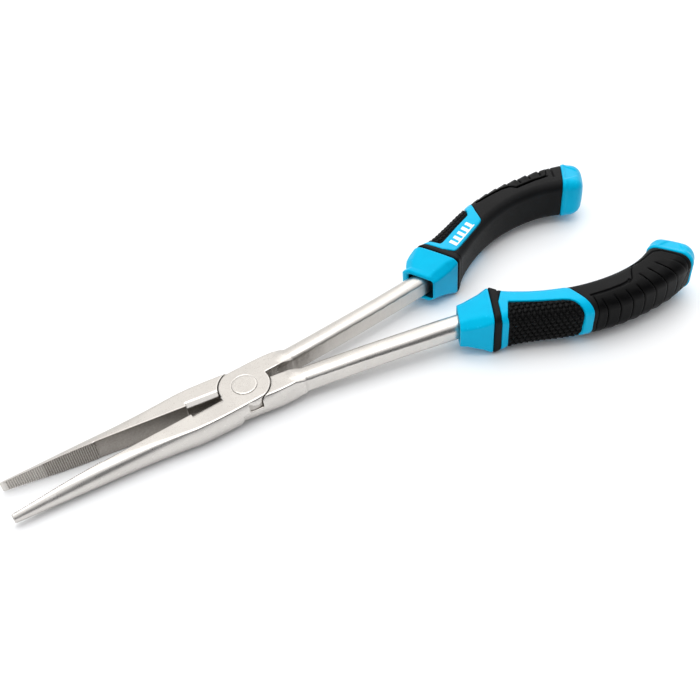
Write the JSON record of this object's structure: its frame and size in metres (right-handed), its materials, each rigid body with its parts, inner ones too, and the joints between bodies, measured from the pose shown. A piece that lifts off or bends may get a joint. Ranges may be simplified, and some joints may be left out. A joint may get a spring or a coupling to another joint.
{
  "type": "fishing pliers",
  "caption": "Long-reach needle-nose fishing pliers: riveted half-lap joint, toothed jaws with side cutter, slim rods and curved two-tone over-moulded grips.",
  "frame": {"origin": "on the pivot axis, in the plane of the joint's underside", "axes": "+X along the closed jaws towards the tips, +Y towards the left handle, +Z along the pivot axis from the underside of the joint to its top"},
  "size_m": [0.2792, 0.0912, 0.0198],
  "materials": {
    "forged_steel": "satin nickel plate over forged steel",
    "rivet_steel": "ground flush, satin",
    "cyan_plastic": "satin-gloss moulded",
    "core_plastic": "plain moulded",
    "black_rubber": "soft-touch matte",
    "pad_rubber": "embossed scales, matte",
    "rib_rubber": "ribbed, matte",
    "white_print": "thin raised mark"
  },
  "bodies": {
    "right_half": {"lever_right": "forged_steel", "pivot_rivet": "rivet_steel", "right_collar": "cyan_plastic", "right_grip_core": "core_plastic", "right_grip_body": "black_rubber", "right_panel_frame": "cyan_plastic", "right_textured_pad": "pad_rubber", "right_rib_pad": "rib_rubber", "right_end_cap": "cyan_plastic", "right_grip_mark": "white_print"},
    "left_half": {"lever_left": "forged_steel", "left_collar": "cyan_plastic", "left_grip_core": "core_plastic", "left_grip_body": "black_rubber", "left_panel_frame": "cyan_plastic", "left_textured_pad": "pad_rubber", "left_rib_pad": "rib_rubber", "left_end_cap": "cyan_plastic"}
  },
  "joints": [
    {"name": "pivot", "type": "hinge", "parent": "right_half", "child": "left_half", "pos_m": [0, 0, 0.0047], "axis": [0, 0, 1], "range_deg": [-28, 9.2]}
  ]
}
